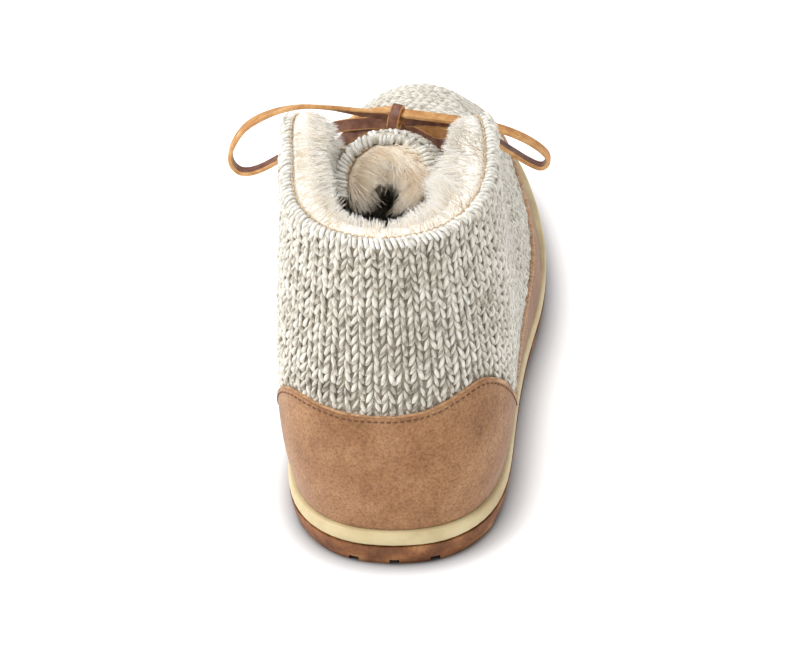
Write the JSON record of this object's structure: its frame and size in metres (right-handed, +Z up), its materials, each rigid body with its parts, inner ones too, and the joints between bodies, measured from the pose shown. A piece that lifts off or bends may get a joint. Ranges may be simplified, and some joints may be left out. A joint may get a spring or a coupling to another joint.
{
  "type": "winter ankle boot",
  "caption": "Winter ankle boot: knitted upper with fur lining and curled tongue, suede heel counter and rand, flat leather lace in a bow, layered rubber sole.",
  "frame": {"origin": "on the ground, at the middle of the boot's length and width, without the lace's bow", "axes": "+Y to the toe, +X to the outer (lateral) side of this right shoe, +Z up"},
  "size_m": [0.1143, 0.268, 0.1305],
  "materials": {
    "gum_rubber": "mottled gum rubber, satin",
    "cream_foam": "cream moulded foam, matt satin",
    "cream_fur": "deep cream pile",
    "tan_fur": "long honey-tan pile",
    "marled_knit": "chunky marled stockinette, matt",
    "tan_suede": "brushed suede with a mottled nap",
    "lace_leather": "flat thong, dark grain side and tan flesh side",
    "antique_brass": "aged, satin"
  },
  "bodies": {
    "root": {"outsole": "gum_rubber", "midsole": "cream_foam", "insole": "cream_fur", "upper": "marled_knit", "heel_counter": "tan_suede", "mudguard": "tan_suede", "tongue": "marled_knit", "tongue_fur": "tan_fur", "fur_collar": "cream_fur", "eyelet_lateral_1": "antique_brass", "eyelet_lateral_2": "antique_brass", "eyelet_lateral_3": "antique_brass", "eyelet_medial_1": "antique_brass", "eyelet_medial_2": "antique_brass", "eyelet_medial_3": "antique_brass", "lace_crossings": "lace_leather", "lace_knot": "lace_leather", "lace_loop_medial": "lace_leather", "lace_loop_lateral": "lace_leather", "lace_end_medial": "lace_leather", "lace_end_lateral": "lace_leather"}
  },
  "joints": []
}
